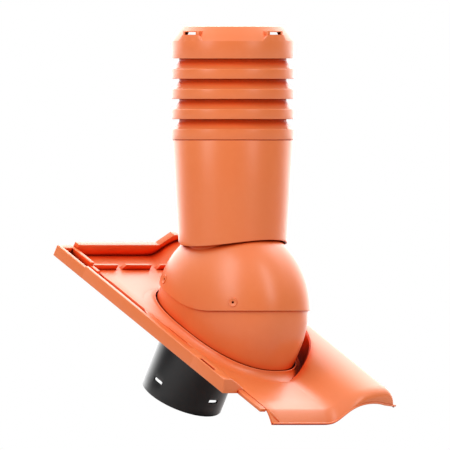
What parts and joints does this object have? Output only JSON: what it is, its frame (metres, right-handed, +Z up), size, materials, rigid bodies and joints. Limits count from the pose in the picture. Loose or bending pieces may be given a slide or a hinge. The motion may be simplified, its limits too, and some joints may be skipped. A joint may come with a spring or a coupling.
{
  "type": "roof ventilation chimney",
  "caption": "Roof vent chimney with a levelling ball swivel built into its own roof tile, a louvred head under a flat cap, and a round duct stub below the roof.",
  "frame": {"origin": "middle of the batten seat, on the underside of the tile near its head edge", "axes": "+Z up along the plumb chimney; the roof falls towards -Y at 30 degrees; +X runs across the roof from the side lock of the tile to its roll"},
  "size_m": [0.248, 0.3861, 0.5197],
  "materials": {
    "terracotta": "satin moulded plastic, through-coloured tile red",
    "black_plastic": "satin moulded black plastic"
  },
  "bodies": {
    "base": {"roof_tile": "terracotta", "lower_ball": "terracotta", "duct_stub": "black_plastic"},
    "chimney": {"upper_dome": "terracotta", "tube_sleeve": "terracotta", "louvre_head": "terracotta", "cap": "terracotta"}
  },
  "joints": [
    {"name": "levelling_swivel", "type": "hinge", "parent": "base", "child": "chimney", "pos_m": [0.0275, -0.17882, -0.05428], "axis": [1, 0, 0], "range_deg": [-5, 15]}
  ]
}
